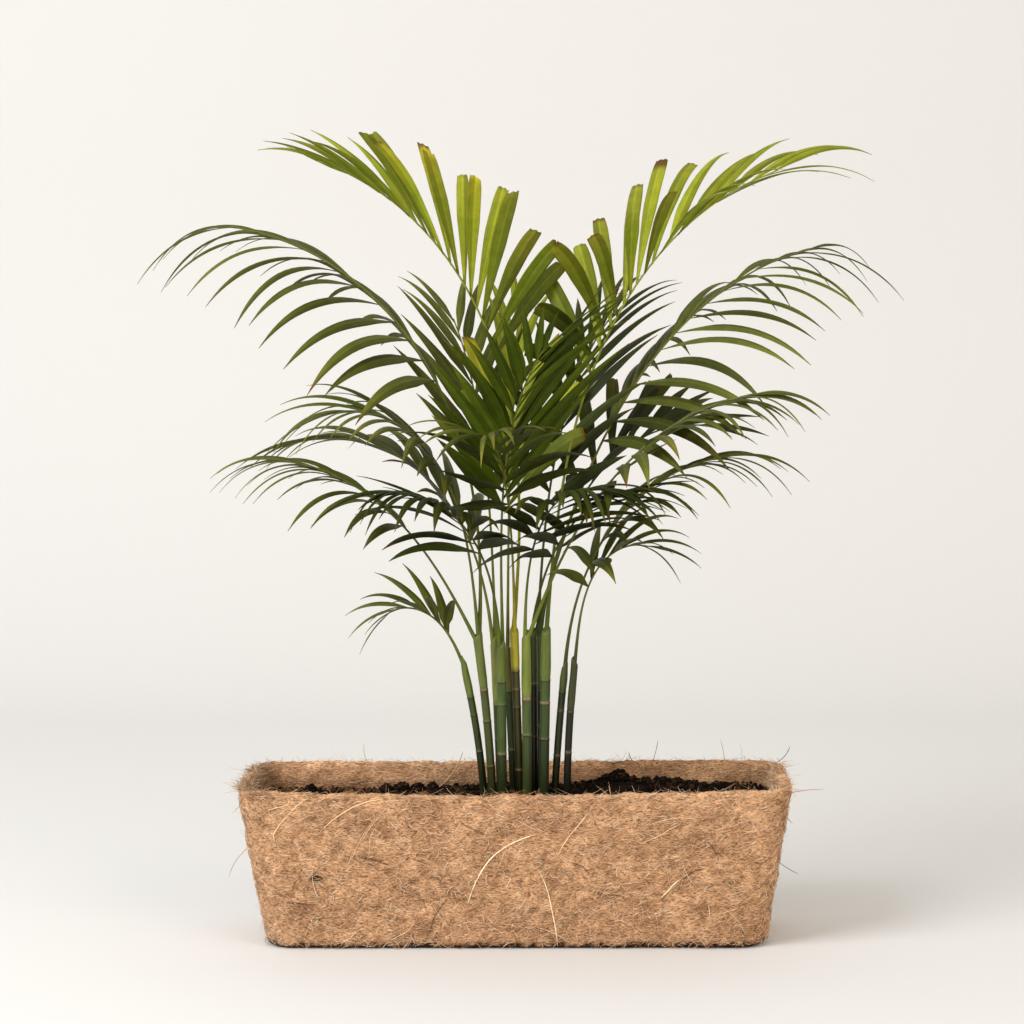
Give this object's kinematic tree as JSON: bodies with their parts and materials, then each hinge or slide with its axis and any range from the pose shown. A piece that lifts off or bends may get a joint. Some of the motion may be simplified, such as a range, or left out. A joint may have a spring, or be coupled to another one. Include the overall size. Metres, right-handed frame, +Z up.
{
  "type": "potted palm",
  "caption": "Clump palm with ringed canes and arching feather fronds growing in a tapered trough of matted coconut fibre filled with dark potting mix",
  "frame": {"origin": "Middle of the trough's flat underside, on the ground.", "axes": "+Z is up. The trough's long side runs along X and its front, as seen in the picture, faces -Y."},
  "size_m": [0.8284, 0.4443, 0.889],
  "materials": {
    "coir": "rough matted fibre",
    "potting_mix": "rough crumbly",
    "cane": "satin",
    "leaf_mature": "satin",
    "leaf_young": "satin"
  },
  "bodies": {
    "root": {"trough": "coir", "soil": "potting_mix", "cane_a": "cane", "cane_b": "cane", "cane_c": "cane", "cane_d": "cane", "cane_e": "cane", "cane_f": "cane", "cane_g": "cane", "cane_h": "cane", "cane_i": "cane", "cane_j": "cane", "cane_k": "cane", "cane_l": "cane", "frond_01": "leaf_young", "frond_02": "leaf_young", "frond_03": "leaf_mature", "frond_04": "leaf_mature", "frond_05": "leaf_mature", "frond_06": "leaf_mature", "frond_07": "leaf_mature", "frond_08": "leaf_mature", "frond_09": "leaf_mature", "frond_10": "leaf_mature", "frond_11": "leaf_mature", "frond_12": "leaf_mature", "frond_13": "leaf_mature", "frond_14": "leaf_young", "frond_15": "leaf_mature", "frond_16": "leaf_mature", "frond_17": "leaf_mature", "frond_18": "leaf_mature", "frond_19": "leaf_mature", "frond_20": "leaf_mature"}
  },
  "joints": []
}
